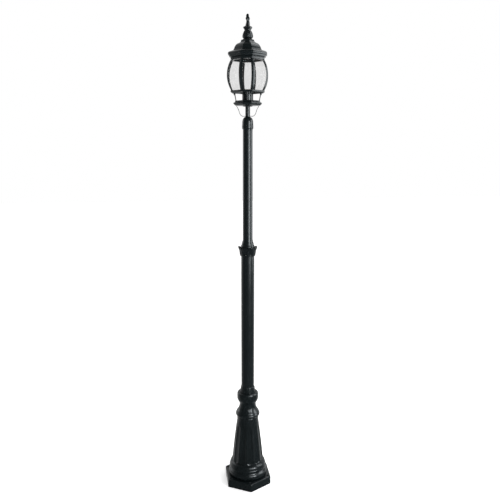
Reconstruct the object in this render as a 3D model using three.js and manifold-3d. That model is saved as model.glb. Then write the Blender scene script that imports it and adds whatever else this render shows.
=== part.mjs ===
// Post-top garden lantern on a tall slender post, millimetres, +Z up, origin on the ground at the axis.
// The viewer's side is -Y. Angles are measured about +Z from -Y towards +X.
import * as THREE from 'three';
import { mergeVertices } from 'three/addons/utils/BufferGeometryUtils.js';
import Module from 'manifold-3d';

const wasm = await Module();
wasm.setup();

// ---- driving dimensions -------------------------------------------------------------------
const TOTAL_H = 2350;                 // ground to the tip of the spire
const GAP = 0.3;                      // clearance between touching pieces

const FOOT_R = 129.7;                 // foot hexagon, centre to corner
const FOOT_H = 42;                    // height of the hexagon's sides
const FOOT_WALL = 8;
const BOLT_R = 113, BOLT_D = 11;      // bolt circle radius and hole diameter
const CONE_Z0 = 122, CONE_Z1 = 354;   // fluted cone
const CONE_R0 = 81, CONE_R1 = 54.5;
const FLUTES = 12, FLUTE_DEPTH = 4.2;
const NECK_Z1 = 446;                  // top of the neck
const DRUM_Z1 = 500;                  // top of the collar drum
const LEAF_Z1 = 534;                  // top of the leaf collar
const TUBE_R = 32.6, TUBE_WALL = 3;   // lower tube
const TUBE_Z0 = 70, TUBE_Z1 = 1246;
const CUP_Z0 = 1218, CUP_Z1 = 1266;   // petal cup of the coupling
const UPPER_R0 = 24.4, UPPER_R1 = 23.2, UPPER_WALL = 3;
const UPPER_Z0 = 1258, UPPER_Z1 = 1864;
const CAP_Z0 = 1832, CAP_Z1 = 1891;   // socket over the top of the upper tube
const CAP_R = 27.1;
const STEM_R = 11.4, STEM_WALL = 2.5;
const CUP_SCREW_R = 37.2, CUP_SCREW_Z = 1227;
const CAP_SCREW_Z = 1850;
const SAUCER_Z0 = 1941, SAUCER_Z1 = 1963, SAUCER_R = 70.2;
const CUP_R = 26, HOLDER_Z1 = 2010;   // lamp-holder cup
const ROD_R = 1.2;                     // S-shaped rods under the saucer

const LANTERN_TURN = -10.7;           // the lantern's narrow face, from -Y
const NARROW_HALF = 17.75;            // half the angle of a narrow face of the eight-sided lantern
const RIM_Z0 = 1998.5, RIM_Z1 = 2008.5;
const RIM_SHELF = 5.4;                // underside of the rim's sloping inner shelf, below its top
const GLASS_Z0 = RIM_Z1 + GAP, GLASS_Z1 = 2145;
const BARREL_R = 131, BARREL_Z = 2078, BARREL_MAX = 100;   // bulge of the ribs and panes
const RIB_FLANGE = 9.4, RIB_T = 1.6;
const PANE_T = 2.6;
const FRAME_Z1 = 2158;                // top of the top frame
const ROOF_Z1 = 2236;                 // top of the roof dome
const DISC_Z1 = 2240.4;
const FINIAL_Z0 = 2242;

// ---- materials ------------------------------------------------------------------------------
const painted = () => new THREE.MeshStandardMaterial({ color: 0x10261b, roughness: 0.42, metalness: 0.35 });
const clearGlass = () => new THREE.MeshStandardMaterial({
  color: 0xe4ecea, roughness: 0.05, metalness: 0, transparent: true, opacity: 0.35 });
const zinc = () => new THREE.MeshStandardMaterial({ color: 0x9a9c98, roughness: 0.35, metalness: 0.9 });
const porcelain = () => new THREE.MeshStandardMaterial({ color: 0xece8de, roughness: 0.3, metalness: 0 });
const rubber = () => new THREE.MeshStandardMaterial({ color: 0x161616, roughness: 0.8, metalness: 0 });

// ---- geometry helpers -------------------------------------------------------------------------
const rad = THREE.MathUtils.degToRad;
// Point at a radius, an angle from -Y towards +X, and a height.
const polar = (r, deg, z) => new THREE.Vector3(r * Math.sin(rad(deg)), -r * Math.cos(rad(deg)), z);
const smooth = (a, b, x) => THREE.MathUtils.smoothstep(x, a, b);

// Closed body from a stack of equal rings of points, each ring closed, with caps at both ends.
function loft(rings) {
  const n = rings[0].length;
  const pos = rings.flat().flatMap((p) => [p.x, p.y, p.z]);
  const idx = [];
  for (let k = 0; k + 1 < rings.length; k++) {
    for (let i = 0; i < n; i++) {
      const a = k * n + i, b = k * n + (i + 1) % n;
      idx.push(a, b, b + n, a, b + n, a + n);
    }
  }
  const flat = (ring) => {
    const u = ring[1].clone().sub(ring[0]).normalize();
    const w = new THREE.Vector3();
    ring.forEach((p, i) => w.add(p.clone().cross(ring[(i + 1) % n])));
    const v = w.normalize().cross(u);
    return ring.map((p) => new THREE.Vector2(p.dot(u), p.dot(v)));
  };
  const last = (rings.length - 1) * n;
  for (const [a, b, c] of THREE.ShapeUtils.triangulateShape(flat(rings[0]), [])) idx.push(a, c, b);
  for (const [a, b, c] of THREE.ShapeUtils.triangulateShape(flat(rings.at(-1)), [])) {
    idx.push(last + a, last + b, last + c);
  }
  return indexed(pos, idx);
}

function indexed(pos, idx) {
  const g = new THREE.BufferGeometry();
  g.setAttribute('position', new THREE.Float32BufferAttribute(pos, 3));
  g.setIndex(idx);
  return g;
}

// Ring body: a closed (r, z) outline carried round the axis at the given angles. The outline runs
// counter-clockwise seen with r to the right and z up. shape(r, z, deg) may change the radius.
function turned(outline, angles, shape = (r) => r) {
  const n = outline.length, m = angles.length;
  const pos = [], idx = [];
  for (const deg of angles) {
    for (const [r, z] of outline) pos.push(...polar(shape(r, z, deg), deg, z).toArray());
  }
  for (let j = 0; j < m; j++) {
    for (let i = 0; i < n; i++) {
      const a = j * n + i, b = j * n + (i + 1) % n;
      const c = ((j + 1) % m) * n + i, d = ((j + 1) % m) * n + (i + 1) % n;
      idx.push(a, d, b, a, c, d);
    }
  }
  return indexed(pos, idx);
}

// Evenly spaced angles all round.
const around = (count, start = 0) => Array.from({ length: count }, (_, i) => start + i * 360 / count);
// The lantern's eight corner angles.
const corners = [0, 90, 180, 270].flatMap((q) => [
  LANTERN_TURN + q - NARROW_HALF, LANTERN_TURN + q + NARROW_HALF]);

// Full solid of revolution, its profile starting and ending on the axis. shape(r, z, deg) may change
// the radius.
function spun(profile, segments = 32, shape = (r) => r) {
  const g = new THREE.LatheGeometry(profile.map(([r, z]) => new THREE.Vector2(r, z)), segments);
  g.rotateX(Math.PI / 2);
  const at = g.attributes.position;
  for (let i = 0; i < at.count; i++) {
    const [x, y, z] = [at.getX(i), at.getY(i), at.getZ(i)];
    const r = Math.hypot(x, y);
    if (r > 1e-6) {
      const k = shape(r, z, THREE.MathUtils.radToDeg(Math.atan2(x, -y))) / r;
      at.setXYZ(i, k * x, k * y, z);
    }
  }
  return g;
}

// Pipe between two heights with an outer and an inner radius at each end.
const pipe = (z0, z1, r0, r1, wall, segments = 32) => turned(
  [[r0 - wall, z0], [r0, z0], [r1, z1], [r1 - wall, z1]], around(segments));

// Solid cylinder between two points.
function rod(a, b, r, segments = 12) {
  const g = new THREE.CylinderGeometry(r, r, a.distanceTo(b), segments);
  const q = new THREE.Quaternion().setFromUnitVectors(
    new THREE.Vector3(0, 1, 0), b.clone().sub(a).normalize());
  g.applyQuaternion(q);
  g.translate(...a.clone().add(b).multiplyScalar(0.5).toArray());
  return g;
}

// Arc of (r, z) points round a centre, from one angle to another, in degrees from +r towards +z.
const arc = (cr, cz, rr, rz, a0, a1, steps) => Array.from({ length: steps + 1 }, (_, i) => {
  const a = rad(a0 + (a1 - a0) * i / steps);
  return [cr + rr * Math.cos(a), cz + rz * Math.sin(a)];
});

// Smooth curve of (r, z) points through a few guide points.
const spline = (guides, steps) => new THREE.SplineCurve(guides.map(([r, z]) => new THREE.Vector2(r, z)))
  .getPoints(steps).map((p) => [p.x, p.y]);

function solid(geometry) {
  const g = geometry.clone();
  g.deleteAttribute('normal');
  g.deleteAttribute('uv');
  const m = mergeVertices(g, 1e-3);
  return new wasm.Manifold(new wasm.Mesh({
    numProp: 3,
    vertProperties: new Float32Array(m.attributes.position.array),
    triVerts: new Uint32Array(m.index.array) }));
}

function surface(body) {
  const mesh = body.getMesh();
  return indexed(Array.from(mesh.vertProperties), Array.from(mesh.triVerts));
}

const cut = (a, ...tools) => surface(tools.reduce((s, t) => s.subtract(solid(t)), solid(a)));
const join = (a, ...more) => surface(more.reduce((s, t) => s.add(solid(t)), solid(a)));

// ---- scene graph ------------------------------------------------------------------------------
const group = new THREE.Group();
function place(name, geometry, material) {
  const mesh = new THREE.Mesh(geometry, material);
  mesh.name = name;
  group.add(mesh);
  return mesh;
}

// ---- post -------------------------------------------------------------------------------------
function footCasting() {
  const hexagon = (r, z) => around(6).map((deg) => polar(r, deg, z));
  const plate = loft([hexagon(FOOT_R, 0), hexagon(FOOT_R, FOOT_H - 3), hexagon(FOOT_R - 3, FOOT_H)]);
  const mouldings = spun([
    [0, FOOT_H - 6], [97, FOOT_H - 6], [97, FOOT_H + 2],
    ...arc(88, 58, 11.5, 16.5, -40, 68, 5),
    [91, 75.5], ...arc(84, 88, 12, 12.5, -45, 45, 4),
    [88.5, 112], [82, 117], [82, CONE_Z0 - GAP], [0, CONE_Z0 - GAP]], 36);
  const hollow = loft([hexagon(FOOT_R - FOOT_WALL, -1), hexagon(FOOT_R - FOOT_WALL - 2, FOOT_H - 9)]);
  const chamber = spun([[0, FOOT_H - 20], [78, FOOT_H - 20], [78, 70], [60, 112], [0, 112]], 18);
  const bore = rod(new THREE.Vector3(0, 0, 60), new THREE.Vector3(0, 0, 130), TUBE_R + GAP, 24);
  const bolts = around(6).map((deg) => rod(polar(BOLT_R, deg, -5), polar(BOLT_R, deg, 60), BOLT_D / 2, 8));
  return surface([hollow, chamber, bore, ...bolts].reduce(
    (s, t) => s.subtract(solid(t)), solid(plate).add(solid(mouldings))));
}

// Twelve shallow flutes with arched ends, one groove at every 30 degrees.
function flutedCone() {
  const flute = (r, z, deg) => {
    const u = ((deg - 15.7) / (360 / FLUTES) % 1 + 1) % 1;      // 0 and 1 on the fillets, 0.5 in the groove
    const across = Math.sqrt(Math.max(0, 1 - ((u - 0.5) / 0.4) ** 2));
    const top = CONE_Z1 - 36 + 8 * across;
    const along = smooth(CONE_Z0 + 6, CONE_Z0 + 16, z) * (1 - smooth(top - 10, top, z));
    return r - FLUTE_DEPTH * across * along * (r > 40 ? 1 : 0);
  };
  const swell = (t) => CONE_R0 + (CONE_R1 - CONE_R0) * t + 1.2 * Math.sin(Math.PI * t);
  const outer = [0, 0.025, 0.07, 0.4, 0.8, 0.85, 1].map(
    (t) => [swell(t), CONE_Z0 + (CONE_Z1 - GAP - CONE_Z0) * t]);
  const inner = [[TUBE_R + GAP, CONE_Z1 - GAP], [TUBE_R + GAP, CONE_Z1 - 14],
    [68, CONE_Z0 + 8], [68, CONE_Z0]];
  const wall = (r, z, deg) => (inner.some(([a, b]) => a === r && b === z) ? r : flute(r, z, deg));
  return turned([...outer, ...inner], around(FLUTES * 4, 15.7), wall);
}

function neckVase() {
  const outer = [[54.8, CONE_Z1], [55.2, 364], ...arc(51.4, 380, 11, 13, -60, 52, 5), [57.4, 391],
    ...spline([[57.8, 392.5], [51.4, 402], [46, 413], [43.1, 426], [42.2, 437]], 5),
    [43.6, NECK_Z1 - GAP]];
  const inner = [[TUBE_R + GAP, NECK_Z1 - GAP], [TUBE_R + GAP, 430], [48, 393], [53, 380], [48, CONE_Z1]];
  return turned([...outer, ...inner], around(32));
}

function collarDrum() {
  const outer = [[46, NECK_Z1], [50, 453], [53.6, 462.5], [54.6, 470], [54.4, 488], [52.4, 495.5],
    [46, DRUM_Z1 - GAP], [41, DRUM_Z1 - 2.5]];
  const inner = [
    [TUBE_R + GAP, DRUM_Z1 - 2.5], [TUBE_R + GAP, 492], [48.5, 486], [48.5, 468], [40, NECK_Z1]];
  return turned([...outer, ...inner], around(32));
}

// Band of leaves standing round the foot of the tube: eight broad leaves with eight behind them.
function leafCollar() {
  const leaf = (r, z, deg) => {
    if (r < TUBE_R + 0.5) return r;
    const t = (z - DRUM_Z1) / (LEAF_Z1 - DRUM_Z1);
    return r + 1.6 * Math.cos(rad(deg * 8)) * (1 - t) * smooth(0, 0.15, t + 0.05);
  };
  const z0 = DRUM_Z1 - 2.2;
  const outer = [[40.6, z0], [41, 503], [38.4, 511], [35.9, 519.5], [35, 528], [33.8, LEAF_Z1]];
  return turned([...outer, [TUBE_R + GAP, LEAF_Z1], [TUBE_R + GAP, z0]], around(32), leaf);
}

// Cup of eight petals whose tips curl outwards.
function couplingCup() {
  const petal = (r, z, deg) => {
    const tip = 0.5 + 0.5 * Math.cos(rad((deg - 16.7) * 8));
    const t = smooth(CUP_Z0 + 14, CUP_Z1 - 4, z);
    return r < 37 ? r : r - (1 - tip) * (1.4 + 5.6 * t);
  };
  const outer = [[36.4, CUP_Z0], [37.1, 1231], [41, 1243], [47, 1256], [48, 1262], [46.6, CUP_Z1],
    [36.8, CUP_Z1 - 1], [35, 1250]];
  const cup = turned([...outer, [TUBE_R + GAP, 1248.5], [TUBE_R + GAP, CUP_Z0]], around(32, 16.7), petal);
  return cut(cup, ...around(3, 100).map((deg) => rod(
    polar(TUBE_R - 1, deg, CUP_SCREW_Z), polar(45, deg, CUP_SCREW_Z), 2.5 + GAP, 8)));
}

// Cone closing the coupling round the thinner upper tube, seated on the lower tube's end.
function couplingCone() {
  const outer = [[TUBE_R - 0.6, TUBE_Z1 + 3], [33.8, TUBE_Z1 + 5], [34.2, 1266], [33, 1272], [30.4, 1276],
    [29.4, 1281], [27.2, 1288], [25.4, 1297]];
  return turned([...outer, [UPPER_R0 + GAP, 1297], [UPPER_R0 + GAP, UPPER_Z0 - 2], [21, UPPER_Z0 - 2],
    [21, TUBE_Z1 + 3]], around(24));
}

// Sleeve inside both tubes, with a shoulder between their ends.
function jointSleeve() {
  const z0 = TUBE_Z1 - 86, z1 = UPPER_Z0 + 90;
  const inner = TUBE_R - TUBE_WALL - GAP;
  return turned([[16.5, z0], [inner, z0], [inner, TUBE_Z1 - 6], [20.6, TUBE_Z1 - 1], [20.6, z1], [16.5, z1]],
    around(24));
}

place('foot_casting', footCasting(), painted());
place('fluted_cone', flutedCone(), painted());
place('neck_vase', neckVase(), painted());
place('collar_drum', collarDrum(), painted());
place('leaf_collar', leafCollar(), painted());
place('lower_tube', pipe(TUBE_Z0, TUBE_Z1, TUBE_R, TUBE_R, TUBE_WALL), painted());
place('coupling_cup', couplingCup(), painted());
place('coupling_cone', couplingCone(), painted());
place('joint_sleeve', jointSleeve(), zinc());
place('upper_tube', pipe(UPPER_Z0, UPPER_Z1, UPPER_R0, UPPER_R1, UPPER_WALL), painted());

// ---- lantern head: socket, stem, saucer -------------------------------------------------------
function postCap() {
  const bore = UPPER_R0 + GAP - 0.6;
  const outer = [[bore, CAP_Z0], [25.4, CAP_Z0], [CAP_R, 1840], [CAP_R, 1847], [26.2, 1862],
    ...arc(11, 1862, 15.1, 26, 15, 75, 4), [13.2, CAP_Z1]];
  const inner = [[STEM_R + GAP, CAP_Z1], [STEM_R + GAP, 1878], [bore, UPPER_Z1 + 2]];
  const cap = turned([...outer, ...inner], around(24));
  return cut(cap, ...around(3, 100).map((deg) => rod(
    polar(20, deg, CAP_SCREW_Z), polar(30, deg, CAP_SCREW_Z), 2 + GAP, 8)));
}

const STEM_Z0 = UPPER_Z1 + 0.5;
place('post_cap', postCap(), painted());
place('stem_tube', pipe(STEM_Z0, SAUCER_Z1 + 4, STEM_R, STEM_R, STEM_WALL, 20), painted());
place('saucer_hub', turned([[STEM_R + GAP, 1936.5], [20, 1936.5], [23, 1938.5], [23.4, SAUCER_Z0 - GAP],
  [STEM_R + GAP, SAUCER_Z0 - GAP]], around(20)), painted());
const saucerHole = (STEM_R + GAP) / Math.cos(rad(45 - NARROW_HALF));
place('saucer', turned([
  [saucerHole, SAUCER_Z0], [61, SAUCER_Z0], [66.5, SAUCER_Z0 + 5], [SAUCER_R, SAUCER_Z0 + 10],
  [64, SAUCER_Z0 + 14.5], [61, SAUCER_Z0 + 19], [60.5, SAUCER_Z1], [53, SAUCER_Z1], [51, SAUCER_Z1 - 7],
  [36, SAUCER_Z1 - 7], [34, SAUCER_Z1], [saucerHole, SAUCER_Z1]], corners), painted());
place('holder_cup', turned([
  [STEM_R + GAP, SAUCER_Z1 + GAP], [CUP_R, SAUCER_Z1 + GAP], [CUP_R, HOLDER_Z1 - 1.5],
  [CUP_R - 1.5, HOLDER_Z1], [CUP_R - 2.5, HOLDER_Z1], [CUP_R - 2.5, SAUCER_Z1 + 6],
  [STEM_R + GAP, SAUCER_Z1 + 6]], around(24)), painted());
place('lamp_holder', turned([
  [9, SAUCER_Z1 + 6 + GAP], [21, SAUCER_Z1 + 6 + GAP], [21, 1990], [22.4, 1993], [22.4, 2013], [20.5, 2015],
  [14.2, 2015], [14.2, 1980], [9, 1980]], around(20)), porcelain());

// Four legs from the saucer to the rim, at the middle of the narrow faces.
const quarters = [0, 90, 180, 270].map((q) => LANTERN_TURN + q);
quarters.forEach((deg, i) => {
  const foot = polar(55, deg, SAUCER_Z1 + 3 * GAP), head = polar(62, deg, RIM_Z0 - 3 * GAP);
  const block = rod(polar(62, deg, RIM_Z0 - 6), polar(62, deg, RIM_Z1 - RIM_SHELF - GAP), 4.8, 8);
  place(`leg_${i + 1}`, join(rod(foot, head, 2.2, 8), block), painted());
});

// Four S-shaped rods from under the saucer to the cap.
quarters.forEach((deg, i) => {
  const guide = [[53, SAUCER_Z0 - ROD_R - GAP], [49, 1933], [42.5, 1920], [39, 1908], [34.5, 1898.6],
    [26.5, 1892.8], [19, 1892.2], [12.4, 1892.7]];
  const path = new THREE.CatmullRomCurve3(guide.map(([r, z]) => polar(r, deg, z)));
  const circle = new THREE.Shape().absarc(0, 0, ROD_R, 0, 2 * Math.PI);
  const scroll = new THREE.ExtrudeGeometry(circle, { steps: 12, curveSegments: 6, extrudePath: path });
  place(`scroll_${i + 1}`, scroll, painted());
});

// ---- lantern head: glazed body ----------------------------------------------------------------
const barrel = (z) => BARREL_MAX - BARREL_R + Math.sqrt(BARREL_R ** 2 - (z - BARREL_Z) ** 2);
const heights = (z0, z1, steps) => Array.from({ length: steps + 1 }, (_, i) => z0 + (z1 - z0) * i / steps);

place('bottom_rim', turned([
  [75.6, RIM_Z0], [79, RIM_Z0], [81, RIM_Z0 + 2], [83.4, RIM_Z0 + 4], [83.4, RIM_Z1 - 1], [82.4, RIM_Z1],
  [75, RIM_Z1], [66, RIM_Z1 - 3], [66, RIM_Z1 - RIM_SHELF], [75.4, RIM_Z1 - RIM_SHELF]], corners), painted());

// Angle-shaped rib following the barrel curve, its two flanges lying along the neighbouring faces.
function rib(deg, left, right) {
  const section = (z) => {
    const tip = polar(barrel(z), deg, z);
    const along = (side) => polar(1, side, 0);
    const faceN = [left, right].map((n) => along(n));
    const toLeft = new THREE.Vector3(0, 0, 1).cross(faceN[0]).negate();
    const toRight = new THREE.Vector3(0, 0, 1).cross(faceN[1]);
    const inner = polar(-RIB_T / Math.cos(rad(Math.abs(right - left) / 2)), deg, 0).add(tip);
    const a = tip.clone().addScaledVector(toLeft, RIB_FLANGE);
    const b = tip.clone().addScaledVector(toRight, RIB_FLANGE);
    return [a, tip, b, b.clone().addScaledVector(faceN[1], -RIB_T), inner,
      a.clone().addScaledVector(faceN[0], -RIB_T)];
  };
  return loft(heights(GLASS_Z0, GLASS_Z1 - GAP, 8).map(section));
}

// Curved pane behind two neighbouring ribs.
function pane(deg, half) {
  const n = polar(1, deg, 0);
  const t = new THREE.Vector3(0, 0, 1).cross(n);
  const section = (z) => {
    const face = barrel(z) * Math.cos(rad(half)) - RIB_T - GAP;
    const reach = (depth) => depth * Math.tan(rad(half)) - 0.7;
    const corner = (depth, side) => n.clone().multiplyScalar(depth).addScaledVector(t, side * reach(depth))
      .setZ(z);
    return [corner(face, -1), corner(face, 1), corner(face - PANE_T, 1), corner(face - PANE_T, -1)];
  };
  return loft(heights(GLASS_Z0, GLASS_Z1 - GAP, 8).map(section));
}

quarters.forEach((deg, i) => {
  const halfWide = 45 - NARROW_HALF;
  place(`rib_${2 * i + 1}`, rib(deg - NARROW_HALF, deg - 45, deg), painted());
  place(`rib_${2 * i + 2}`, rib(deg + NARROW_HALF, deg, deg + 45), painted());
  place(`pane_narrow_${i + 1}`, pane(deg, NARROW_HALF), clearGlass());
  place(`pane_wide_${i + 1}`, pane(deg + 45, halfWide), clearGlass());
});

place('top_frame', turned([
  [66, GLASS_Z1], [82, GLASS_Z1], [82, FRAME_Z1 - 3], [80, FRAME_Z1 - GAP], [66, FRAME_Z1 - GAP]], corners),
painted());

// Bar across the top frame with a stud standing on it; the roof slips over the stud.
const BAR_Z1 = FRAME_Z1 + 3;
const STUD_R = 3, STUD_Z1 = 2262;
function crossbar() {
  const g = new THREE.BoxGeometry(2 * 70 * Math.cos(rad(NARROW_HALF)), 14, BAR_Z1 - FRAME_Z1);
  g.rotateZ(rad(LANTERN_TURN - 90));
  g.translate(0, 0, (FRAME_Z1 + BAR_Z1) / 2);
  return g;
}
place('crossbar', crossbar(), painted());
place('roof_stud', spun([[0, BAR_Z1 + GAP], [8, BAR_Z1 + GAP], [8, BAR_Z1 + 5], [STUD_R, BAR_Z1 + 7],
  [STUD_R, STUD_Z1], [0, STUD_Z1]], 12), zinc());

// Grub screws, three round the coupling and three round the cap.
const grub = (r0, r1, deg, z, r) => rod(polar(r0, deg, z), polar(r1, deg, z), r, 8);
for (const [i, deg] of around(3, 100).entries()) {
  place(`coupling_screw_${i + 1}`, grub(TUBE_R + GAP, CUP_SCREW_R, deg, CUP_SCREW_Z, 2.5), zinc());
  place(`cap_screw_${i + 1}`, grub(UPPER_R1 + 2 * GAP, CAP_R + 0.5, deg, CAP_SCREW_Z, 2), zinc());
}

// ---- roof and finial --------------------------------------------------------------------------
// Eight-sided ogee dome over a stepped brim, hollow and open below.
const roofOuter = [[76, FRAME_Z1], [84, FRAME_Z1], [88.4, 2160], [88.4, 2167], [93.6, 2167.8], [94.6, 2170],
  [94.4, 2174], ...spline([[92, 2178.3], [86.4, 2182], [76.5, 2185.6], [70.3, 2188.6], [66.8, 2193],
    [64.4, 2198.5], [61.4, 2204.5], [57.8, 2210.5], [53, 2216], [45.5, 2220], [37.5, 2223.8], [33.4, 2227.5],
    [31.4, 2231.5]], 15), [30.2, ROOF_Z1 - 1.5], [27, ROOF_Z1]];
const roofInner = [[4, ROOF_Z1], [4, 2232], [27, 2230], [33, 2220.5], [48, 2214.5], [55.5, 2206], [61, 2192],
  [70, 2184.5], [76, 2178]];
place('roof', turned([...roofOuter, ...roofInner], corners), painted());
place('roof_disc', turned([[4, ROOF_Z1 + GAP], [21, ROOF_Z1 + GAP], [22.6, 2237.6], [22.6, 2239],
  [20.5, DISC_Z1], [4, DISC_Z1]], around(20)), painted());
place('finial_washer', turned([[4, DISC_Z1 + GAP], [15, DISC_Z1 + GAP], [15, FINIAL_Z0 - GAP],
  [4, FINIAL_Z0 - GAP]], around(16)), rubber());

// Leafy bulb, a waist, a crown of four petals and a twisted spire, in one casting.
function finial() {
  const outer = [[18, FINIAL_Z0], [23.5, 2245], [25.2, 2251], [24, 2259], [21.6, 2267], [17.4, 2273.5],
    [16, 2278], [19.6, 2285.5], [21, 2290], [17, 2293.5], [10.4, 2298], [10.1, 2305], [9.4, 2311],
    [8.2, 2316.5], [7.2, 2320.6], [9.4, 2325], [10.5, 2329], [8.6, 2333], [6.9, 2337.5], [7.1, 2342],
    [5.8, 2346.5],
    [0, TOTAL_H]];
  const sculpt = (r, z, deg) => {
    if (r < STUD_R + 2) return r;
    const bulb = (1 - smooth(2266, 2276, z)) * smooth(2242, 2249, z);
    const crown = smooth(2279, 2288, z) * (1 - smooth(2293, 2296, z));
    const spire = smooth(2296, 2304, z);
    const twist = (z - 2296) * 6;
    return r + bulb * 1.1 * (Math.cos(rad(deg * 8)) - 1) + crown * 2.4 * (Math.cos(rad(deg * 4)) - 1)
      + spire * 0.16 * r * (Math.cos(rad(deg * 3 + twist)) - 1);
  };
  const inner = [[0, STUD_Z1 + 4], [STUD_R + 0.5, STUD_Z1 + 1], [STUD_R + 0.5, FINIAL_Z0]];
  return spun([...inner, ...outer], 24, sculpt);
}
place('finial', finial(), painted());

export default group;
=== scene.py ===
"""Looks of a post-top garden lantern: fine castings, glass, paint, studio light and camera."""
import math

import bpy
import numpy as np
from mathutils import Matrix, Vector


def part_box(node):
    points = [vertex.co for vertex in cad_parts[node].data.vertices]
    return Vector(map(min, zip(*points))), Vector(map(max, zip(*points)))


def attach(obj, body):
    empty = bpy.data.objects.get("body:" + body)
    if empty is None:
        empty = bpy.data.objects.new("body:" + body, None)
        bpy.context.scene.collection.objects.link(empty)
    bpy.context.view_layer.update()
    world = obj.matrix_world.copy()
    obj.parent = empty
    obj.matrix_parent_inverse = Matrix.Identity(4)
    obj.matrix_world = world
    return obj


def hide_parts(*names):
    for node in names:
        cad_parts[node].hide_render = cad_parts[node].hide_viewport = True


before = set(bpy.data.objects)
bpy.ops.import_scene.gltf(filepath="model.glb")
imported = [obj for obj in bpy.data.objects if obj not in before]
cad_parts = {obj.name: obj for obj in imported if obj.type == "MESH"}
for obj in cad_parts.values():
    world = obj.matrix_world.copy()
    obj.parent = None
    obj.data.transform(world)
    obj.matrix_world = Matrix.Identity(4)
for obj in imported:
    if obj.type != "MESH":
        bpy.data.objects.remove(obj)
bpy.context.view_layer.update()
MM = 0.001


# ---- where the CAD pieces are, in millimetres -----------------------------------------------
def low(node):
    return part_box(node)[0].z / MM


def high(node):
    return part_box(node)[1].z / MM


def half_width(node):
    lo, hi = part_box(node)
    return max(hi.x - lo.x, hi.y - lo.y) / 2 / MM


FOOT_TOP = 42.0                   # top face of the hexagonal slab
FOOT_R = half_width("foot_casting")
TUBE_R = (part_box("lower_tube")[1].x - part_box("lower_tube")[0].x) / 2 / MM
STEM_R = (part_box("stem_tube")[1].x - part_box("stem_tube")[0].x) / 2 / MM
UPPER_R = 24.4, 23.2              # the upper tube at its foot and at its top
TUBE_WALL = 3.0
BOLT_R, BOLT_HOLE = 113.0, 5.5    # circle and radius of the foot's bolt holes
GAP = 0.3                         # play between neighbouring pieces
RIM_SHELF = 5.4                   # underside of the rim's sloping inner shelf, below its top
TURN = -10.7                      # the lantern's first narrow face, degrees from -Y towards +X
NARROW_HALF = 17.75               # half the angle that a narrow face takes up
WIDE_HALF = 45 - NARROW_HALF
QUARTERS = [TURN + q for q in (0, 90, 180, 270)]
CONE_R = 81.0, 54.5               # the fluted cone at its foot and at its top
FLUTES, FLUTE_TURN, FLUTE_DEPTH = 12, 15.7, 4.4
LEAVES, LEAF_TURN = 8, 6.0        # leaves round the drum's collar
PETALS, PETAL_TURN = 8, 16.7      # petals round the coupling
TAU = 2 * math.pi


# ---- outline helpers --------------------------------------------------------------------------
def polar(r, deg, z):
    """Point from a radius, an angle from -Y towards +X, and a height."""
    a = math.radians(deg)
    return np.array([r * math.sin(a), -r * math.cos(a), z])


def smooth(a, b, x):
    """Soft step that is 0 at a and 1 at b."""
    t = np.clip((np.asarray(x, float) - a) / (b - a), 0, 1)
    return t * t * (3 - 2 * t)


def arc(cr, cz, rr, rz, a0, a1, steps):
    """Part of an ellipse as outline points: its centre, its two radii, and from angle to angle."""
    t = np.radians(np.linspace(a0, a1, steps + 1))
    return [(cr + rr * math.cos(a), cz + rz * math.sin(a)) for a in t]


def flowing(points, steps=8):
    """Catmull-Rom curve through the points, its ends included."""
    p = [np.array(q, float) for q in points]
    p = [2 * p[0] - p[1], *p, 2 * p[-1] - p[-2]]
    out = []
    for a, b, c, d in zip(p, p[1:], p[2:], p[3:]):
        for i in range(steps):
            t = i / steps
            out.append(tuple(0.5 * (2 * b + (c - a) * t + (2 * a - 5 * b + 4 * c - d) * t * t
                                    + (3 * b - a - 3 * c + d) * t ** 3)))
    return out + [tuple(p[-2])]


def rounded(points, fillet=1.0, steps=4):
    """The closed outline with each corner turned into a small curve. A point may carry its own fillet."""
    pts = [np.array(p[:2], float) for p in points]
    own = [p[2] if len(p) > 2 else fillet for p in points]
    out = []
    for i, p in enumerate(pts):
        a, b = pts[i - 1] - p, pts[(i + 1) % len(pts)] - p
        la, lb = np.linalg.norm(a), np.linalg.norm(b)
        cut = min(own[i], 0.45 * la, 0.45 * lb)
        if cut < 0.02:
            out.append(tuple(p))
            continue
        s, e = p + a / la * cut, p + b / lb * cut
        for t in np.linspace(0, 1, steps + 1):
            out.append(tuple((1 - t) ** 2 * s + 2 * t * (1 - t) * p + t * t * e))
    return out


def round_plan(count, start=0.0):
    """Plan of a round body: (angle, radius factor) pairs."""
    return [(start + i * 360 / count, 1.0) for i in range(count)]


def faceted_plan(corner_degs, soft=0.03):
    """Plan of a many-sided body: (angle, radius factor) pairs, its corners slightly rounded."""
    ring = rounded([tuple(polar(1, d, 0)[:2]) for d in corner_degs], soft)
    return [(math.degrees(math.atan2(x, -y)), float(np.linalg.norm((x, y)))) for x, y in ring]


LANTERN_CORNERS = [d + s for d in QUARTERS for s in (-NARROW_HALF, NARROW_HALF)]
EIGHT = faceted_plan(LANTERN_CORNERS)
SIX = faceted_plan([60.0 * i for i in range(6)])


# ---- mesh helpers: each returns (points in mm, faces) -------------------------------------------
def turned(outline, plan, shape=None):
    """A closed (r, z) outline carried round the plan. shape(r, z, deg) may return changed r and z."""
    o = np.array(outline, float)
    n, m = len(o), len(plan)
    verts = np.zeros((m, n, 3))
    for j, (deg, k) in enumerate(plan):
        r, z = o[:, 0] * k, o[:, 1]
        if shape:
            r, z = shape(r, z, deg)
        a = math.radians(deg)
        verts[j] = np.stack([r * math.sin(a), -r * math.cos(a), z], 1)
    faces = []
    for j in range(m):
        k = (j + 1) % m
        faces += [(j * n + i, k * n + i, k * n + (i + 1) % n, j * n + (i + 1) % n) for i in range(n)]
    return verts.reshape(-1, 3), faces


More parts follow.
